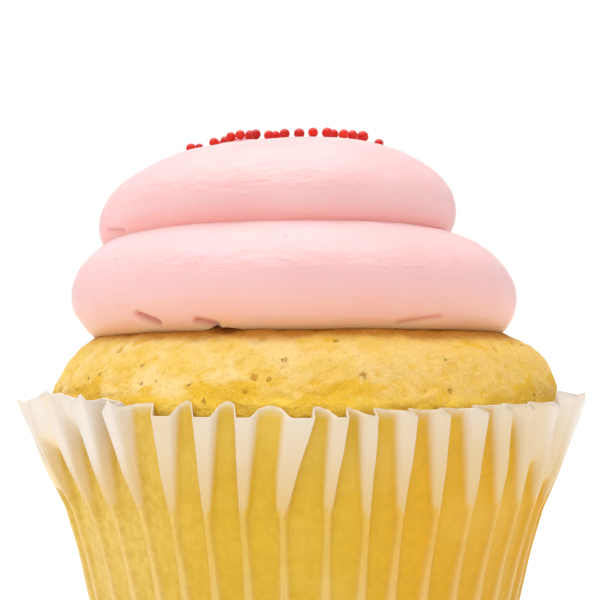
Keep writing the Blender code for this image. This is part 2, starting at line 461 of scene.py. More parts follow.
# Columns across a pleat, as shares of its left flank, of the ridge's face, of its right flank,
# and of the valley to the next pleat.
LEFT_FLANK = (0.0, 0.15, 0.32, 0.5, 0.68, 0.85)
RIDGE_FACE = (0.0, 0.12, 0.5, 0.88, 1.0)
RIGHT_FLANK = (0.15, 0.32, 0.5, 0.68, 0.85)
VALLEY = (0.0, 0.2, 0.4, 0.6, 0.8)
# Rows, as shares of the height to the kink, where the folds leave the sponge, and above it.
LOW_ROWS = (0.02, 0.045, 0.1, 0.2, 0.3, 0.4, 0.5, 0.6, 0.7, 0.8, 0.88, 0.95, 1.0)
FREE_ROWS = (
    0.02, 0.05, 0.1, 0.16, 0.22, 0.28, 0.35, 0.42, 0.49, 0.56, 0.63, 0.7, 0.77, 0.84, 0.9, 0.95, 1.0,
)
# Width of a fold's face below the kink, at heights up the case.
STRIP_HEIGHTS = np.array([0, 10, 16]) * MM
STRIP_WIDTHS = np.array([0.75, 0.7, 0.45]) * MM
# Width of a pleat's gentle side at the rim, where it leans left and where it leans right, and of
# its two sides low down.
GENTLE_AT_RIM = (1.2 * MM, 1.7 * MM)
GENTLE_LOW, STEEP_LOW = 0.5 * MM, 0.4 * MM
# How much higher the milky part of a ridge starts away from its crisp edge, as a share of the
# free height.
FAR_RISE = 0.09
# The painted highlight on the folds' edges, partly paler doubled paper, is plainest below the first
# height, and faint above the second.
CREST_FADES = np.array([9, 17]) * MM
CREST_TONES = (1.0, 0.4)


class Pleats:
    """The pleats round the case: arrays with a value for each pleat.

    A pleat leans to a side, 0 for left and 1 for right. Its edge there is crisp and its side
    steep, and its other side is gentle. Its slant is 0 where it stands upright and 1 where it
    lies over.
    """

    def __init__(self, settings):
        rng = np.random.default_rng(settings.seed)
        front = np.array(FRONT_PLEATS)
        behind = settings.pleats - len(front)
        step = np.arange(1, behind + 1) / (behind + 1)
        foot, middle = [
            last + (first + 360 - last) * step
            for first, last in ((front[0, 0], front[-1, 0]), (front[0, 1:3].mean(), front[-1, 1:3].mean()))
        ]
        foot += rng.uniform(-1.1, 1.1, behind)
        middle += rng.uniform(-1.0, 1.0, behind)
        half = rng.uniform(0.9, 1.8, behind)
        arch = rng.uniform(0.7, 1.5, behind)
        tuck = rng.uniform(0.3, 1.1, behind)
        rest = np.stack([foot, middle - half, middle + half, arch, tuck], 1)
        self.foot, self.left, self.right, arch, tuck = np.concatenate([front, rest]).T
        lean = np.concatenate([front[:, 0] > LEANS_RIGHT_FROM, rng.random(behind) < 0.5])
        self.lean = lean.astype(float)
        self.arch, self.tuck = arch * settings.arch, tuck * MM
        # The folds come off the sponge a little higher at the front.
        kink_rise = 0.4 + 1.5 * np.cos(np.radians(self.foot)) + rng.uniform(-0.4, 0.4, len(self.foot))
        self.kink = KINK_HEIGHT + kink_rise * MM
        self.gentle = np.where(self.lean == 1, GENTLE_AT_RIM[1], GENTLE_AT_RIM[0])
        self.gentle *= rng.uniform(0.9, 1.1, len(self.foot))
        at_left, at_right = ease(*LIES_OVER_LEFT, -self.foot), ease(*LIES_OVER_RIGHT, self.foot)
        self.slant = np.where(self.foot < 0, at_left, at_right)

    def edges(self, height, free):
        """Each ridge's left and right edge, and the widths of its flanks, all in degrees."""
        lean = self.lean
        degree = np.interp(height, FOLD_HEIGHTS, FOLD_RADII) * math.radians(1)
        # A pleat that leans right widens sooner.
        growth = free ** np.where(lean == 1, 0.55, 0.75)
        strip = np.interp(height, STRIP_HEIGHTS, STRIP_WIDTHS) / degree
        width = strip + (self.right - self.left - strip) * growth
        low_edge = self.foot + (lean - 0.5) * strip
        rim_edge = np.where(lean == 1, self.right, self.left)
        left = low_edge + (rim_edge - low_edge) * free - lean * width
        gentle = (GENTLE_LOW + (self.gentle - GENTLE_LOW) * growth) / degree
        steep = (STEEP_LOW - (STEEP_LOW + self.tuck) * ease(0, 1, free) ** 0.7) / degree
        left_flank = lean * gentle + (1 - lean) * steep
        right_flank = lean * steep + (1 - lean) * gentle
        return left, left + width, left_flank, right_flank

    def row(self, low, free):
        """Places and readings of one row of the case's skin: lists of columns across a pleat.

        Each column is turn, height, how far it stands off the valleys, the rim's rise there,
        and how near it is to being on a crest, on a gentle side and far from a crisp edge.
        """
        lean, slant = self.lean, self.slant
        height = low * self.kink + free * (RIM_HEIGHT - self.kink)
        left, right, left_flank, right_flank = self.edges(height, free)
        valley_start = right + right_flank
        valley_end = np.roll(left - left_flank, -1)
        valley_end[-1] += 360
        loose = looseness((valley_start + valley_end) / 2, free)
        before = np.roll(loose, 1)
        middle = (left + right) / 2
        depth = ridge_radius(height, middle) - valley_radius(height)
        rise = rim_shape(middle)[1]
        next_height, next_depth, next_rise = (np.roll(part, -1) for part in (height, depth, rise))
        none = 0 * lean
        columns = []
        for t in LEFT_FLANK:
            stand = before + (1 - before) * (t + (ease(0, 1, t) - t) * lean)
            turn = left - left_flank * (1 - t)
            columns.append((turn, height, depth * stand, rise, none + t, (1 - t) * lean, lean))
        for t in RIDGE_FACE:
            turn = left + (right - left) * t
            far = (t + (1 - 2 * t) * lean) * slant + (2 * t - 1) ** 2 * (1 - slant)
            columns.append((turn, height, depth, rise, none + 1, none, far))
        for t in RIGHT_FLANK:
            stand = loose + (1 - loose) * (1 - t + (t - ease(0, 1, t)) * (1 - lean))
            turn = right + right_flank * t
            side = t * (1 - lean)
            columns.append((turn, height, depth * stand, rise, none + 1 - t, side, 1 - lean))
        for t in VALLEY:
            columns.append((
                valley_start + (valley_end - valley_start) * t,
                height + (next_height - height) * t,
                (depth + (next_depth - depth) * t) * loose,
                rise + (next_rise - rise) * t,
                none,
                (1 - lean) * (1 - t) + np.roll(lean, -1) * t,
                none + 1,
            ))
        return columns

    def rises(self):
        """How far each column's top stands above the ridges' crisp corners: [pleat, column].

        Where pleats don't slant, the rim is a row of arches. Where they do, it is a saw's
        teeth, and past a pleat that leans left the rim drops to a notch.
        """
        arch, lean, slant = self.arch, self.lean, self.slant
        before, next_lean, next_slant = np.roll(arch, 1), np.roll(lean, -1), np.roll(slant, -1)
        slants_left = (1 - lean) * slant
        left_corner = 0.75 * lean * slant * before
        right_corner = 0.85 * slants_left * arch
        start = np.where(lean == 1, 1.0, 0.85 - 0.35 * slant) * arch
        end = (0.85 - np.where(next_lean == 1, 0.2, 0.15) * next_slant) * arch
        end_before = np.roll(end, 1)
        notch = 0.3 * slants_left * arch
        bulge = 0.15 * (1 - np.maximum(slant, next_slant)) * arch
        # The share of the right flank over which the rim gets to the valley's height.
        drop = 1 - 0.6 * slants_left
        row = [end_before + (left_corner - end_before) * ease(0, 1, t) for t in LEFT_FLANK]
        row += [left_corner + (right_corner - left_corner) * t for t in RIDGE_FACE]
        row += [
            right_corner + (start - right_corner) * ease(0, drop, t) - notch * ease(0, 0.4, t) * (1 - t)
            for t in RIGHT_FLANK
        ]
        row += [start + (end - start) * t + 4 * bulge * t * (1 - t) for t in VALLEY]
        return np.stack(row, 1)


def looseness(from_front, free):
    """How far the paper between ridges stands off the sponge, as a share of the ridges' depth."""
    _, _, loose_from = rim_shape(from_front)
    # Paper that comes loose lowest stands nearest to the ridges.
    fullness = np.interp(loose_from, [0.05, 0.1], [0.97, 0.75])
    return fullness * ease(loose_from - 0.02, 1.2 * loose_from + 0.12, free) * (free > 0)


def case_skin(settings):
    """Places of the case's outer face, [row, column], and the readings for its paper."""
    pleats = Pleats(settings)
    rises = pleats.rises()
    skin = {"turn": [], "radius": [], "level": [], "crest": [], "climb": [], "side": [], "far": []}
    rows = [(share, 0.0) for share in LOW_ROWS] + [(1.0, share) for share in FREE_ROWS]
    for low, free in rows:
        columns = np.stack(pleats.row(low, free)).transpose(1, 2, 0)
        turn, height, stand, rim_rise, crest, side, far = columns
        level = height + free**1.5 * (rises + rim_rise)
        # The crests' painted highlight ends where the paper turns milky.
        crest = crest * np.interp(height, CREST_FADES, CREST_TONES) * (1 - ease(0, 1.3 * FAR_RISE, free))
        row = {"turn": turn, "radius": valley_radius(level) + stand, "level": level}
        row.update({"crest": crest, "climb": free + 0 * turn, "side": side, "far": far})
        for title, values in row.items():
            skin[title].append(values.ravel())
    return {title: np.array(values) for title, values in skin.items()}


def make_case(settings):
    """The pleated paper: a sleeve, folded, on a flat base, then given the paper's thickness."""
    skin = case_skin(settings)
    turn = np.radians(skin["turn"]) - math.pi / 2
    level, climb = skin["level"], skin["climb"]
    places = around(turn, skin["radius"], level)
    # The paper ripples most where it is free.
    ripple = bumps(places, (0.14, 5 * MM, 3), (0.05, 2 * MM, 4)) * (0.2 + 0.8 * ease(0.0, 0.5, climb))
    places += grid_normals(places) * (ripple * MM)[..., None]
    lift = np.maximum(skin["radius"] - sponge_radius(level) - PAPER_ROOM, 0) * (climb > 0)
    below_rim = level[-1] - level
    band = settings.band * (1 - ease(0.3 * settings.band, 1.4 * settings.band, below_rim))
    lift = np.maximum(lift, band * (climb > 0))
    ends = turn[0]
    base = [around(ends, BASE_RADIUS * share + 0 * ends, 0.0 * ends) for share in (0, 0.5, 0.9, 1)]
    plain = np.zeros((len(base), len(ends)))
    readings = {name: skin[name] for name in ("crest", "climb", "side")}
    readings["lift"] = lift / MM
    readings["white"] = whiteness(lift / MM, climb, skin["side"], skin["far"])
    readings = {name: np.concatenate([plain, values]) for name, values in readings.items()}
    case = sleeve("paper_case_pleated", np.concatenate([base, places]), readings)
    # The sleeve is open at its rim, so which way is out is seen from its base.
    lowest = min(case.data.polygons, key=lambda face: face.center.z)
    if lowest.normal.z > 0:
        case.data.flip_normals()
    case.data.set_sharp_from_angle(angle=math.radians(50))
    wall = case.modifiers.new("paper", "SOLIDIFY")
    wall.thickness = settings.paper
    wall.offset = -1
    dress(case, paper_finish(settings), "greased_paper", "paper_case")


def whiteness(lift, climb, side, far):
    """How far the paper has turned milky, 0 to 1, less so down a pleat's gentle side."""
    off_sponge = ease(0.05, 0.8, lift - 0.55 * side * (1 - climb**2))
    return off_sponge * ease(0, 0.012, climb - FAR_RISE * far)


def paper_finish(settings):
    """Greased paper: yellow where sponge backs it, milky where it stands free; painted shade to the right,
    painted light to the left and on the folds' sides there, and a painted highlight along the folds'
    crests.
    """
    paper = Finish("greased_paper")
    lift, climb = paper.reading("lift"), paper.reading("climb")
    mottle = paper.noise(0.9 * MM, detail=4)
    cloud = paper.noise(8 * MM, detail=3)
    across = paper.axis("X")
    patches, upper = paper.stretch(cloud, 0.45, 0.7, 0, 0.3), paper.stretch(climb, 0.1, 0.9, 0, 0.14)
    dry = paper.maths("ADD", patches, upper)
    backed = paper.coats(
        settings.backed,
        # Painted shade: the backed paper turns a deeper yellow towards the right side.
        (paper.stretch(across, 2 * MM, 14 * MM), settings.backed_right_shade),
        # Painted light: the backed paper turns paler towards the left side.
        (paper.stretch(across, -8 * MM, -20 * MM, 0, 0.8), settings.backed_lit_and_dry),
        (paper.stretch(mottle, 0.62, 0.38, 0, 0.5), settings.backed_dark),
        (dry, settings.backed_lit_and_dry),
    )
    # Painted light: the folds' sides towards the left are lightened as if light came through the paper.
    painted_glow = paper.times(paper.reading("side"), paper.stretch(across, -8 * MM, -16 * MM, 0, 0.7))
    free = paper.coats(
        settings.half_free,
        (climb, settings.free),
        (paper.stretch(lift, 1.5, 2.6), settings.clear),
        (paper.stretch(cloud, 0.55, 0.35, 0, 0.25), settings.half_free),
        (painted_glow, paper.mix(paper.stretch(climb, 0.4, 0.85), settings.glow_low, settings.glow)),
    )
    # Painted highlight along the folds' crests, partly paler doubled paper.
    crest_highlight = paper.times(paper.reading("crest"), 0.45)
    colour = paper.coats(backed, (paper.reading("white"), free), (crest_highlight, settings.crest))
    fibre = paper.noise(0.3 * MM, detail=3)
    normal = paper.relief(fibre, 0.015 * MM)
    paper.set(Specular_IOR_Level=0.25)
    return paper.finish(colour, paper.stretch(cloud, 0.3, 0.7, 0.42, 0.55), normal)


# ------------------------------------------------------------------------------------ sponge

# Heights of the rows up the sponge's side, inside the paper, and how far out from the axis the
# rows of its top lie, as shares.
SIDE_ROWS = np.array([0.5, 1.2, 4, 8, 13, 18.2, 21, 24.4, 27, 29]) * MM
TOP_ROWS = (0.98, 0.96, 0.94, 0.92, 0.9, 0.85, 0.75, 0.55, 0.3, 0)
# Only bubbles whose chance is above this have opened, in cells of this size, ragged by a share
# of it.
RARE_PIT, PIT_CELL, PIT_RAGGED = 0.76, 2.4 * MM, 0.16


def sponge_profile(turn):
    """Radii and heights up the sponge at each azimuth: arrays of [row, segment]."""
    radii = [0 * turn, 12 * MM + 0 * turn, BASE_RADIUS - 0.6 * MM + 0 * turn]
    heights = [0.3 * MM + 0 * turn] * 3
    for height in SIDE_ROWS:
        radii.append(sponge_radius(height) + 0 * turn)
        heights.append(height + 0 * turn)
    for height in np.linspace(29.8, 38.5, 44) * MM:
        fuller = SHOULDER * np.interp(height, CROWN_HEIGHTS[[0, 4, -1]], [0, 1, 0])
        radii.append(sponge_radius(height) + fuller * np.cos(turn))
        heights.append(height + front_rise(height, turn))
    for reach in TOP_ROWS:
        radius = DOME_EDGE_RADIUS * reach
        radii.append(radius + 0 * turn)
        heights.append(dome(radius, turn))
    return np.array(radii), np.array(heights)


def make_sponge(settings):
    """The baked sponge: lumps, crumb, creases and pits where it shows, and plain elsewhere."""
    segments = settings.segments
    turn = np.arange(segments) / segments * FULL_TURN
    radii, heights = sponge_profile(turn)
    places = around(turn[None] + 0 * radii, radii, heights)
    showing = ease(29.5 * MM, 31.5 * MM, heights) * ease(22 * MM, 24.5 * MM, radii)
    lumps = bumps(places, (0.24, 6 * MM, 1), (0.12, 2.6 * MM, 2))
    crumb = noise_at(places, 1.1 * MM, seed=5, octaves=3)
    creases = 1 - np.abs(noise_at(places * [1, 1, 1.6], 6 * MM, seed=8, octaves=3)) * 3.5
    creases = np.clip(creases, 0, 1) * ease(-0.1, 0.3, noise_at(places, 9 * MM, seed=9))
    creases *= 0.35 + 0.65 * ease(36.5 * MM, 33 * MM, heights)
    pits = sponge_pits(places)
    relief = (lumps + 0.09 * crumb - 0.22 * creases - 0.35 * pits) * MM * settings.roughness
    normals = grid_normals(places)
    places = places + normals * (relief * showing)[..., None]
    # The gap reading marks where the painted shadow under the icing goes.
    gap = in_gap(turn) * ease(GAP_FROM, GAP_FROM + 0.5 * MM, heights)
    readings = {"creases": creases, "pits": pits, "crumb": crumb, "gap": gap}
    cake = sleeve("cake_sponge", places, readings)
    dress(cake, sponge_finish(settings), "sponge", "cake")


def sponge_pits(places):
    """Small open bubbles with ragged edges, 0 to 1 deep."""
    ragged = [noise_at(places, 0.7 * MM, seed=seed) for seed in (21, 22, 23)]
    points_at = places / PIT_CELL + PIT_RAGGED * np.stack(ragged, -1)
    depth = []
    for point in points_at.reshape(-1, 3).tolist():
        distances, points = noise.voronoi(point)
        chance = abs(noise.cell(points[0] * 5.3))
        reach = 0.09 + 0.7 * (chance - RARE_PIT)
        depth.append(max(0.0, 1 - distances[0] / reach) if chance > RARE_PIT else 0.0)
    return ease(0, 0.8, np.array(depth)).reshape(places.shape[:-1])


def sponge_finish(settings):
    """Baked crumb: pale and moist; painted shade deepens its yellow in creases, pits and lower down,
    painted light brightens it next to the paper, and it browns under the icing, partly a painted shadow.
    """
    sponge = Finish("sponge")
    crumb, height = sponge.reading("crumb"), sponge.axis("Z")
    patches = sponge.noise(4 * MM, detail=5, roughness=0.6)
    speckle = sponge.noise(0.4 * MM, detail=3, roughness=0.7)
    wander = sponge.noise(6 * MM, detail=6, stretch=(1, 1, 1.7), roughness=0.62)
    # Painted shade: the sponge turns a deeper yellow lower down, towards the paper.
    low = sponge.stretch(height, 36.5 * MM, 31.5 * MM, -0.03, 0.1)
    ragged_height = sponge.maths("ADD", height, sponge.times(patches, 2.2 * MM))
    ragged_edge = sponge.stretch(speckle, 0.3, 0.7, -0.1, 0.1, smooth=False)
    bubble = sponge.dots(1.7 * MM, (0.17, 0.06), (0.76, 0.8), ragged_edge)
    colour = sponge.coats(
        settings.crumb,
        (sponge.stretch(patches, 0.38, 0.64), settings.pale),
        (sponge.stretch(sponge.axis("X"), -10 * MM, 26 * MM, 0, 0.75), settings.tan),
        # Random deeper patches, with painted shade lower down towards the paper.
        (sponge.stretch(sponge.maths("ADD", wander, low), 0.56, 0.64, 0, 0.85), settings.deep),
        (sponge.stretch(crumb, -0.1, -0.6, 0, 0.5), settings.deep),
        # Painted shade: deeper yellow in the creases.
        (sponge.stretch(sponge.reading("creases"), 0.1, 0.9, 0, 0.6), settings.deep),
        # Painted light: the sponge next to the paper is brightened to a golden yellow where shade falls.
        (sponge.stretch(height, 33.0 * MM, 31.4 * MM, 0, 0.75), settings.rim),
        # Browned crust under the icing's edge, partly a painted shadow cast by the icing.
        (sponge.stretch(ragged_height, 38.9 * MM, 40.1 * MM, 0, 0.9), settings.crust_and_shadow),
        (sponge.stretch(speckle, 0.58, 0.72, 0, 0.35), settings.fleck),
        (sponge.stretch(speckle, 0.40, 0.28, 0, 0.5), settings.hollow),
        # Painted shade: the pits and bubbles are darkened inside.
        (sponge.stretch(sponge.reading("pits"), 0.05, 0.6, 0, 0.6), settings.hollow),
        (sponge.times(bubble, 0.5), settings.hollow),
        # Painted shadow: dark brown in the gap under the icing.
        (sponge.times(sponge.reading("gap"), 0.9), settings.gap_shadow),
    )
    normal = sponge.relief(sponge.noise(0.9 * MM, detail=4, roughness=0.65), 0.4 * MM)
    normal = sponge.relief(speckle, 0.16 * MM, normal)
    normal = sponge.relief(sponge.times(bubble, -1), 0.2 * MM, normal)
    sponge.set(Specular_IOR_Level=0.2, Subsurface_Weight=0.25, Subsurface_Scale=1.2 * MM)
    sponge.shader.inputs["Subsurface Radius"].default_value = (1.0, 0.55, 0.2)
    return sponge.finish(colour, sponge.stretch(speckle, 0.3, 0.7, 0.75, 0.5), normal)


# ------------------------------------------------------------------------------------- icing

# Creases: start and end as azimuth and height, then width and depth.
CREASES = (
    ((226.5, 41.1 * MM), (234.0, 39.8 * MM), 0.42 * MM, 0.8 * MM),
    ((243.0, 40.3 * MM), (250.0, 39.6 * MM), 0.4 * MM, 0.7 * MM),
    ((200.0, 51.5 * MM), (213.0, 50.8 * MM), 0.5 * MM, 0.35 * MM),
    ((292.0, 39.9 * MM), (306.0, 40.8 * MM), 0.3 * MM, 0.4 * MM),
)


def rope_sections(turn):
    """The rope's cross-sections that each azimuth's half plane cuts, one for each lap."""
    along = (turn - ROPE_START) % FULL_TURN / FULL_TURN
    place = np.arange(ROPE_LAPS).reshape(-1, *[1] * np.ndim(along)) + along
    radius, height, half_width, half_height, offset = [
        smooth_through(place, ROPE_TURNS, column) for column in ROPE_COLUMNS
    ]
    return radius + offset * np.cos(turn), height, half_width, half_height, place <= ROPE_TURNS[-1]


# Rounds of closing in on the icing's edge, rays in a first look at its skin, and rounds of
# evening out the rows. Near a seam rows crowd together, within a distance.
EDGE_ROUNDS, FIRST_RAYS, EVENING_ROUNDS = 14, 700, 60
CROWDING, CROWDED_WITHIN = 3.5, 1.1 * MM


def icing_edge(turn):
    """Radius and height at which the rope's outer side comes down to the sponge."""
    radius, height, half_width, half_height, _ = (part[0] for part in rope_sections(turn))
    level = dome(DOME_EDGE_RADIUS, turn)
    for _ in range(EDGE_ROUNDS):
        drop = (level - height) / half_height
        reach = radius + half_width * np.sqrt(np.maximum(1 - drop * drop, 0))
        level = 0.5 * (level + dome(reach, turn))
    return reach, level + GAP_RISE * in_gap(turn)


def rope_skin(turn, share):
    """Radius and height of the rope's outside where each ray leaves it, and the lap it leaves."""
    start_r, start_h, end_r, end_h = (np.interp(share, FAN_SHARES, column) for column in FAN)
    edge_r, edge_h = icing_edge(turn)
    near_edge = np.clip(share / FAN_SHARES[1], 0, 1)
    end_r = edge_r + (end_r - edge_r) * near_edge
    end_h = edge_h + (end_h - edge_h) * near_edge
    ray_r, ray_h = end_r - start_r, end_h - start_h
    length = np.hypot(ray_r, ray_h)
    ray_r, ray_h = ray_r / length, ray_h / length
    exits = []
    for radius, height, half_width, half_height, there in zip(*rope_sections(turn)):
        at_r, at_h = (start_r - radius) / half_width, (start_h - height) / half_height
        go_r, go_h = ray_r / half_width, ray_h / half_height
        a = go_r**2 + go_h**2
        b = at_r * go_r + at_h * go_h
        c = at_r**2 + at_h**2 - 1
        root = b * b - a * c
        reach = (np.sqrt(np.maximum(root, 0)) - b) / a
        exits.append(np.where(there & (root > 0), reach, -1.0))
    exits = np.array(exits)
    furthest = exits.max(0)
    filled = furthest
    for other in exits:
        near = np.where(other < furthest, np.maximum(SEAM_ROUNDING - (furthest - other), 0), 0)
        filled = filled + near**2 / SEAM_ROUNDING / 4
    return start_r + ray_r * filled, start_h + ray_h * filled, exits.argmax(0)


def icing_shares(turn, rows):
    """Shares of the fan for each row and azimuth, closest together at the seams."""
    dense = np.linspace(0, 1, FIRST_RAYS)[:, None] + 0 * turn[None]
    radius, height, lap = rope_skin(turn[None], dense)
    step = np.hypot(np.diff(radius, axis=0), np.diff(height, axis=0))
    arc = np.concatenate([0 * turn[None], np.cumsum(step, 0)])
    shares = np.empty((rows, len(turn)))
    for i in range(len(turn)):
        weight = np.ones(len(arc) - 1)
        for seam in np.flatnonzero(np.diff(lap[:, i])):
            weight += CROWDING * np.exp(-((arc[1:, i] - arc[seam, i]) / CROWDED_WITHIN) ** 2)
        spaced = np.concatenate([[0], np.cumsum(step[:, i] * weight)])
        shares[:, i] = np.interp(np.linspace(0, spaced[-1], rows), spaced, dense[:, i])
    for _ in range(EVENING_ROUNDS):
        shares = (np.roll(shares, 1, 1) + 2 * shares + np.roll(shares, -1, 1)) / 4
    return shares


def crease(places, start, end, width, depth):
    """How far a crease from start to end, each an azimuth and a height, sinks each place."""
    turn = np.degrees(np.arctan2(places[..., 1], places[..., 0])) % 360
    radius = np.hypot(places[..., 0], places[..., 1])
    mid = math.radians((start[0] + end[0]) / 2)
    scale = radius * math.radians(1)
    x = (turn - start[0]) * scale
    y = places[..., 2] - start[1]
    run = (end[0] - start[0]) * scale
    rise = end[1] - start[1]
    length = np.hypot(run, rise)
    t = np.clip((x * run + y * rise) / np.maximum(length, 1e-9) ** 2, 0, 1)
    away = np.hypot(x - run * t, y - rise * t)
    facing = np.cos(np.radians(turn) - mid) > 0.5
    taper = np.sqrt(np.clip(1 - (2 * t - 1) ** 4, 0, 1))
    return np.where(facing, depth * taper * np.exp(-(away / width) ** 1.3), 0)


def make_icing(settings):
    """The piped rope's outside, closed underneath along the sponge, with swells and creases."""
    segments, rows = settings.segments, settings.rows
    turn = np.arange(segments) / segments * FULL_TURN
    shares = icing_shares(turn, rows)
    radius, height, lap = rope_skin(turn[None], shares)
    radius[-1] = 0
    near_axis = 1 - ease(0, 3.5 * MM, radius)
    height += near_axis * (height[-1].mean() - height)
    under = np.linspace(0, 1, 7)[:-1, None]
    under_radius = under * radius[0]
    radius = np.concatenate([under_radius, radius])
    height = np.concatenate([dome(under_radius, turn), height])
    places = around(turn[None] + 0 * radius, radius, height)
    # It is smooth next to the sponge and underneath.
    skin = ease(39.8 * MM, 42 * MM, height)
    skin[:len(under)] = 0
    swell = bumps(places, (0.30, 14 * MM, 11), (0.10, 5 * MM, 12))
    drag = bumps(places * [0.35, 0.35, 1.6], (0.05, 1.6 * MM, 13), (0.02, 0.7 * MM, 14))
    fold, foot = depth_in_folds(places[len(under):], lap)
    plain = np.zeros((len(under), segments))
    sunk = 0 * radius
    for mark in CREASES:
        sunk = sunk + crease(places, *mark)
    relief = (swell + drag) * skin * MM * settings.unevenness - sunk
    places = places + grid_normals(places) * relief[..., None]
    # The fold and sunk readings carry painted shade in the seams and creases, and foot carries a painted
    # warm reflection from the sponge.
    readings = {
        "sunk": sunk / MM,
        "fold": np.concatenate([plain, fold]),
        "foot": np.concatenate([plain + 1, foot]),
    }
    icing = sleeve("icing_swirl", places, readings)
    dress(icing, icing_finish(settings), "buttercream", "icing")


def depth_in_folds(places, lap):
    """1 where a lap's underside meets the lap below, and where it meets the sponge, fading to 0."""
    step = np.linalg.norm(np.diff(places, axis=0), axis=-1)
    arc = np.concatenate([0 * step[:1], np.cumsum(step, 0)])
    seam = np.where(np.diff(lap, axis=0, prepend=lap[:1]) != 0, arc, 0)
    above = arc - np.maximum.accumulate(seam, 0)
    has_seam = np.maximum.accumulate(seam, 0) > 0
    fold = np.where(has_seam, 1 - ease(0, 3.0 * MM, above), 0)
    near, further = (0.5 * (1 - ease(0, reach, above)) for reach in (2.2 * MM, 7 * MM))
    return fold, np.where(has_seam, 0, near + further)


def icing_finish(settings):
    """Smooth buttercream: a little translucent, with faint drag lines and pinholes, painted shade in its
    seams, creases and pinholes, and a painted warm reflection from the sponge near its foot.
    """
    icing = Finish("buttercream")
    cloud = icing.noise(12 * MM, detail=3)
    grain = icing.noise(1.6 * MM, detail=3, stretch=(0.5, 0.5, 1.5))
    dabs = icing.noise(1.1 * MM, detail=2, stretch=(0.7, 0.7, 1.5), roughness=0.6)
    band = icing.maths("ADD", icing.bell(46.6 * MM, 2.6 * MM), icing.bell(55.8 * MM, 2.6 * MM))
    hole = icing.dots(1.9 * MM, (0.12, 0.04), (0.86, 0.88))
    colour = icing.coats(
        settings.pink,
        (icing.stretch(cloud, 0.35, 0.65, 0.15, 0.85), settings.pale),
        (icing.stretch(grain, 0.5, 0.7, 0, 0.35), settings.pink),
        # Painted shade: deeper pink in the seams where one lap meets the lap below.
        (icing.times(icing.reading("fold"), 0.55), settings.deep),
        # Painted reflection: warm light bounced from the sponge, on the icing near its foot and
        # underneath.
        (icing.times(icing.reading("foot"), 0.8), settings.foot),
        # Painted shade: darker inside the creases.
        (icing.stretch(icing.reading("sunk"), 0.05, 0.6, 0, 0.8), settings.crease),
        # Painted shade inside the pinholes.
        (icing.times(hole, 0.35), settings.deep),
    )
    normal = icing.relief(icing.times(hole, -1), 0.1 * MM)
    normal = icing.relief(icing.noise(0.8 * MM, detail=4, stretch=(0.4, 0.4, 1.6)), 0.03 * MM, normal)
    normal = icing.relief(icing.times(dabs, band), 0.35 * MM, normal)
    icing.set(Specular_IOR_Level=0.3, Subsurface_Weight=0.8, Subsurface_Scale=4 * MM)
    icing.shader.inputs["Subsurface Radius"].default_value = (1.0, 0.45, 0.4)
    return icing.finish(colour, icing.stretch(grain, 0.3, 0.7, 0.38, 0.5), normal)


# ---------------------------------------------------------------------------------- nonpareils

# Balls that stand along the front of the patch, left to right: (right, back) of the axis.
FRONT_BALLS = (
    (-13.7, -4.0), (-12.7, -3.2), (-10.8, -5.0), (-9.9, 1.6), (-8.9, -3.8), (-7.7, -4.8),
    (-6.7, -2.3), (-5.9, -4.5), (-4.2, -8.0), (-3.5, -6.0), (-2.3, -8.4), (-0.6, -7.6),
    (1.0, -8.8), (2.7, -7.5), (3.5, -5.6), (4.6, -7.8), (5.7, -6.4), (7.0, -4.6), (9.1, -1.3),
)
# Least distance between the middles of two balls, and least and most that a ball's middle stands
# off the icing, in radii.
BALLS_APART, STANDS_OFF = 2.05, (0.75, 0.98)
# How much the balls' sizes, and two of their three widths, differ from one to the next.
SIZE_SPREAD, WIDTH_SPREADS = 0.07, (0.04, 0.05)
MOST_TRIES = 4000


def make_balls(settings):
    """Sugar balls, pressed a little into the top of the icing."""
    icing = bpy.data.objects["icing_swirl"]
    top = BVHTree.FromObject(icing, bpy.context.evaluated_depsgraph_get())
    rng = np.random.default_rng(settings.seed)
    spots = [(x * MM, y * MM) for x, y in FRONT_BALLS]
    tries = 0
    while len(spots) < settings.count and tries < MOST_TRIES:
        tries += 1
        reach, turn = settings.patch * math.sqrt(rng.random()), rng.random() * FULL_TURN
        right, back = reach * math.cos(turn), reach * math.sin(turn)
        spot = (settings.patch_right + right, settings.patch_back + back)
        is_apart = all(math.dist(spot, other) > BALLS_APART * settings.radius for other in spots)
        if is_apart and spot[1] > settings.clear_front:
            spots.append(spot)
    bm = bmesh.new()
    tone = bm.verts.layers.float.new("tone")
    for x, y in spots:
        place, normal, _, _ = top.ray_cast(Vector((x, y, 1.0)), Vector((0, 0, -1)))
        size = settings.radius * (1 + SIZE_SPREAD * rng.normal())
        centre = place + normal * size * rng.uniform(*STANDS_OFF)
        spin = Matrix.Rotation(rng.random() * FULL_TURN, 4, Vector(rng.normal(size=3)).normalized())
        widths = [1 + spread * rng.normal() for spread in WIDTH_SPREADS]
        squash = Matrix.Diagonal((1, *widths, 1))
        where = Matrix.Translation(centre) @ spin @ squash
        ball = bmesh.ops.create_icosphere(bm, subdivisions=2, radius=size, matrix=where)
        value = rng.random()
        for vert in ball["verts"]:
            vert[tone] = value
    mesh = bpy.data.meshes.new("nonpareils")
    bm.to_mesh(mesh)
    bm.free()
    balls = new_object("nonpareils", mesh)
    dress(balls, ball_finish(settings), "sugar_beads")


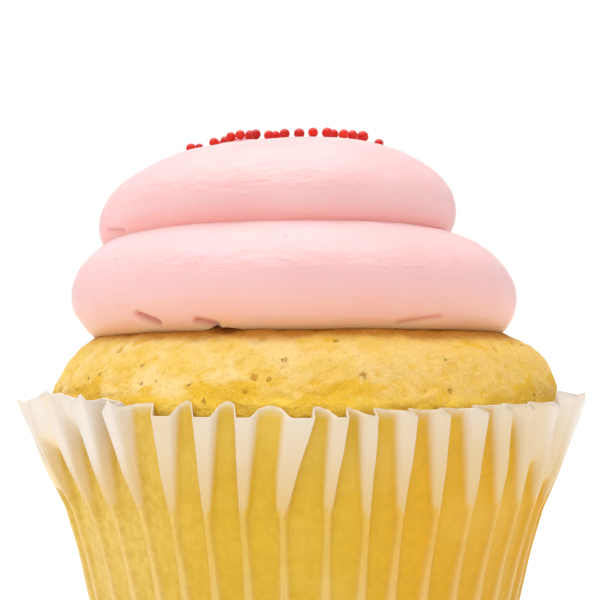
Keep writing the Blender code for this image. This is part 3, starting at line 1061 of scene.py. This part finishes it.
def ball_finish(settings):
    """Hard red sugar with a soft gloss."""
    sugar = Finish("sugar_beads")
    tone = sugar.reading("tone")
    colour = sugar.coats(
        settings.dark,
        (sugar.stretch(tone, 0, 1, smooth=False), settings.red),
        (sugar.stretch(sugar.noise(0.4 * MM), 0.5, 0.75, 0, 0.2), settings.dusty),
    )
    normal = sugar.relief(sugar.noise(0.25 * MM, detail=3), 0.02 * MM)
    sugar.set(Specular_IOR_Level=0.35, Subsurface_Weight=0.2, Subsurface_Scale=0.4 * MM)
    sugar.shader.inputs["Subsurface Radius"].default_value = (1.0, 0.15, 0.1)
    return sugar.finish(colour, sugar.stretch(tone, 0, 1, 0.3, 0.42, smooth=False), normal)


# --------------------------------------------------------------------------------------- stage


def make_stage(settings):
    """White floor, soft light from the upper left, and a camera close in front."""
    bm = bmesh.new()
    bmesh.ops.create_circle(bm, cap_ends=True, segments=96, radius=settings.floor)
    mesh = bpy.data.meshes.new("floor")
    bm.to_mesh(mesh)
    bm.free()
    floor = bpy.data.objects.new("floor", mesh)
    bpy.context.scene.collection.objects.link(floor)
    white = Finish("floor_white")
    white.set(Roughness=0.9, Specular_IOR_Level=0.1)
    floor.data.materials.append(white.finish((*settings.floor_colour, 1)))
    make_light(settings)
    camera = bpy.data.cameras.new("camera")
    camera.sensor_width = 36
    camera.lens = 36 * settings.magnify * settings.distance
    camera.shift_x, camera.shift_y = settings.shift
    camera.clip_start = 0.01
    view = bpy.data.objects.new("camera", camera)
    bpy.context.scene.collection.objects.link(view)
    view.location = (0, -settings.distance, settings.eye)
    view.rotation_euler = (math.radians(90), 0, 0)
    bpy.context.scene.camera = view
    bpy.context.scene.view_settings.view_transform = "Standard"


def make_light(settings):
    """A white surround that lights a little less than it shows, and a wide soft lamp overhead."""
    world = bpy.data.worlds.new("studio")
    bpy.context.scene.world = world
    world.use_nodes = True
    tree = world.node_tree
    sky = tree.nodes["Background"]
    sky.inputs["Color"].default_value = (1, 1, 1, 1)
    rays = tree.nodes.new("ShaderNodeLightPath")
    strength = tree.nodes.new("ShaderNodeMapRange")
    strength.inputs["To Min"].default_value = settings.ambient
    strength.inputs["To Max"].default_value = 1.0
    tree.links.new(rays.outputs["Is Camera Ray"], strength.inputs["Value"])
    tree.links.new(strength.outputs["Result"], sky.inputs["Strength"])
    light = bpy.data.lights.new("key", "SUN")
    light.energy = settings.key
    light.angle = settings.key_angle
    lamp = bpy.data.objects.new("key", light)
    bpy.context.scene.collection.objects.link(lamp)
    lamp.rotation_euler = (-Vector(settings.key_from)).to_track_quat("-Z", "Y").to_euler()


# ------------------------------------------------------------------------------------ settings


def length_setting(name, description, default):
    return FloatProperty(name=name, description=description, default=default, unit="LENGTH", precision=5)


def colour_setting(name, description, code):
    return FloatVectorProperty(
        name=name, description=description, default=shade(code), subtype="COLOR", min=0, max=1, size=3
    )


def count_setting(name, description, default, least, most):
    return IntProperty(name=name, description=description, default=default, min=least, max=most)


def depth_setting(name, description):
    return FloatProperty(name=name, description=description, default=1.0, min=0, max=2)


class CaseSettings(bpy.types.PropertyGroup):
    pleats: count_setting("Pleats", "Folds round the case", 44, 30, 60)
    seed: IntProperty(name="Seed", description="Which uneven pleats", default=5)
    paper: length_setting("Paper", "Thickness of the paper", 0.12 * MM)
    arch: length_setting("Arch", "Height of a full arch of the rim", 1.0 * MM)
    band: length_setting("Band", "Paper along the rim with no sponge behind it", 0.7 * MM)
    backed: colour_setting("Backed", "Paper with sponge behind it", "D8AE28")
    backed_dark: colour_setting("Backed, darker", "Mottling of the backed paper", "CDA21C")
    # Paler backed paper: painted light over the left side, and drier patches scattered about and higher
    # up.
    backed_lit_and_dry: colour_setting("Backed, paler", "Drier patches, most of them to the left", "E2C160")
    # Painted shade: deeper yellow over the right side of the backed paper.
    backed_right_shade: colour_setting("Backed, right", "Greasier paper, to the right", "DEA60E")
    half_free: colour_setting("Half free", "Foot of the ridges that stand free", "DBB76E")
    free: colour_setting("Free", "Top of the ridges that stand free", "E0D2BE")
    clear: colour_setting("Clear", "Paper far from the sponge", "E5DACF")
    # Glow and Glow, low are painted light on the folds' sides at the left.
    glow: colour_setting("Glow", "Sides of the folds that the light comes through", "E4D8CA")
    glow_low: colour_setting("Glow, low", "The same, further down", "F8DEAC")
    # Crest: painted highlight along the folds' edges, partly paler doubled paper.
    crest: colour_setting("Crest", "Sharp edges of the folds", "EED09A")


class SpongeSettings(bpy.types.PropertyGroup):
    segments: count_setting("Segments", "Steps round the sponge", 640, 64, 900)
    roughness: depth_setting("Roughness", "Depth of lumps and pits")
    crumb: colour_setting("Crumb", "Most of the sponge", "E8C05C")
    pale: colour_setting("Pale", "Paler patches", "EFCE88")
    tan: colour_setting("Tan", "Duller crumb, to the right", "E6B95A")
    fleck: colour_setting("Fleck", "Fine pale flecks", "FFE8AC")
    # Deep: random deeper patches, and painted shade in the creases and lower down.
    deep: colour_setting("Deep", "Creases, and sponge near the paper", "E2B01C")
    # Rim: painted light that brightens the shaded sponge next to the paper.
    rim: colour_setting("Rim", "Moist sponge next to the paper", "FFD448")
    # Crust: browned top, partly a painted shadow under the icing's edge.
    crust_and_shadow: colour_setting("Crust", "Browned top under the icing", "BC7406")
    # Hollow: dark specks, and painted shade inside the pits and bubbles.
    hollow: colour_setting("Hollow", "Pits and specks", "D08C0A")
    # Painted shadow in the gap under the icing.
    gap_shadow: colour_setting("Burnt", "In the gap under the icing", "8A4A10")


class IcingSettings(bpy.types.PropertyGroup):
    segments: count_setting("Segments", "Steps round the icing", 400, 64, 480)
    rows: count_setting("Rows", "Steps from edge to top", 190, 40, 200)
    unevenness: depth_setting("Unevenness", "Depth of swells and drags")
    pink: colour_setting("Pink", "Main colour", "E5BABA")
    pale: colour_setting("Pale", "Paler swathes", "E9C3C3")
    # Deep: painted shade in the seams between laps and in the pinholes.
    deep: colour_setting("Deep", "Inside folds and pinholes", "F6A092")
    # Crease: painted shade inside the creases.
    crease: colour_setting("Crease", "Inside the creases", "D8806C")
    # Foot: painted warm reflection from the sponge, near the icing's foot.
    foot: colour_setting("Foot", "Where it has drawn colour from the sponge", "FFB468")


class BallSettings(bpy.types.PropertyGroup):
    count: count_setting("Count", "Balls in all", 46, 20, 200)
    seed: IntProperty(name="Seed", description="Which scatter", default=3)
    radius: length_setting("Radius", "Of one ball", 0.62 * MM)
    patch: length_setting("Patch", "Radius of the strewn patch", 10.5 * MM)
    patch_right: length_setting("Patch, right", "Middle of the patch, to the right of the axis", -2.4 * MM)
    patch_back: length_setting("Patch, back", "Middle of the patch, behind the axis", 4.0 * MM)
    clear_front: length_setting("Clear front", "Scattered balls lie behind this", 1.5 * MM)
    red: colour_setting("Red", "Brighter balls", "EA240E")
    dark: colour_setting("Dark red", "Darker balls", "B8120A")
    dusty: colour_setting("Dusty", "Worn spots", "E86050")


class StageSettings(bpy.types.PropertyGroup):
    floor: length_setting("Floor", "Radius of the floor", 2.5)
    floor_colour: colour_setting("Floor", "Colour of the floor", "F8F8F8")
    ambient: FloatProperty(name="Ambient", description="Light from all round", default=0.6, min=0)
    key: FloatProperty(name="Key", description="Strength of the lamp overhead", default=2.9, min=0)
    key_angle: FloatProperty(
        name="Key width", description="Softness", default=math.radians(70), subtype="ANGLE"
    )
    key_from: FloatVectorProperty(
        name="Key from", description="Direction to the lamp", default=(-0.15, -0.05, 0.98)
    )
    distance: length_setting("Distance", "Camera to the cupcake's axis", 160 * MM)
    eye: length_setting("Eye", "Camera's height", 37.6 * MM)
    magnify: FloatProperty(
        name="Magnify", description="Picture widths to a metre at the axis", default=8 / 0.6
    )
    shift: FloatVectorProperty(
        name="Shift", description="Lens shift that frames it", default=(-0.0075, 0.0767), size=2
    )


class CupcakeSettings(bpy.types.PropertyGroup):
    case: PointerProperty(type=CaseSettings)
    sponge: PointerProperty(type=SpongeSettings)
    icing: PointerProperty(type=IcingSettings)
    balls: PointerProperty(type=BallSettings)
    stage: PointerProperty(type=StageSettings)


# ----------------------------------------------------------------------------------- operators


class CUPCAKE_OT_case(bpy.types.Operator):
    """Fold the pleated paper case"""

    bl_idname = "cupcake.case"
    bl_label = "Paper Case"

    def execute(self, context):
        make_case(context.scene.cupcake.case)
        return {"FINISHED"}


class CUPCAKE_OT_sponge(bpy.types.Operator):
    """Bake the sponge"""

    bl_idname = "cupcake.sponge"
    bl_label = "Sponge"

    def execute(self, context):
        make_sponge(context.scene.cupcake.sponge)
        return {"FINISHED"}


class CUPCAKE_OT_icing(bpy.types.Operator):
    """Pipe the buttercream"""

    bl_idname = "cupcake.icing"
    bl_label = "Icing"

    def execute(self, context):
        make_icing(context.scene.cupcake.icing)
        return {"FINISHED"}


class CUPCAKE_OT_balls(bpy.types.Operator):
    """Strew the sugar balls on the icing"""

    bl_idname = "cupcake.balls"
    bl_label = "Sugar Balls"

    def execute(self, context):
        make_balls(context.scene.cupcake.balls)
        return {"FINISHED"}


class CUPCAKE_OT_stage(bpy.types.Operator):
    """Set up the floor, the light and the camera"""

    bl_idname = "cupcake.stage"
    bl_label = "Stage"

    def execute(self, context):
        make_stage(context.scene.cupcake.stage)
        return {"FINISHED"}


OPERATORS = (CUPCAKE_OT_case, CUPCAKE_OT_sponge, CUPCAKE_OT_icing, CUPCAKE_OT_balls, CUPCAKE_OT_stage)


class CUPCAKE_PT_panel(bpy.types.Panel):
    """Lists the cupcake's pieces in the order they are made"""

    bl_idname = "CUPCAKE_PT_panel"
    bl_label = "Cupcake"
    bl_space_type = "VIEW_3D"
    bl_region_type = "UI"
    bl_category = "Cupcake"

    def draw(self, context):
        for operator in OPERATORS:
            self.layout.operator(operator.bl_idname)


CLASSES = (
    CaseSettings, SpongeSettings, IcingSettings, BallSettings, StageSettings, CupcakeSettings,
    *OPERATORS, CUPCAKE_PT_panel,
)


def register():
    for made in CLASSES:
        bpy.utils.register_class(made)
    bpy.types.Scene.cupcake = PointerProperty(type=CupcakeSettings)


def unregister():
    del bpy.types.Scene.cupcake
    for made in reversed(CLASSES):
        bpy.utils.unregister_class(made)


def main():
    register()
    for operator in OPERATORS:
        group, name = operator.bl_idname.split(".")
        getattr(getattr(bpy.ops, group), name)()


if __name__ == "__main__":
    main()
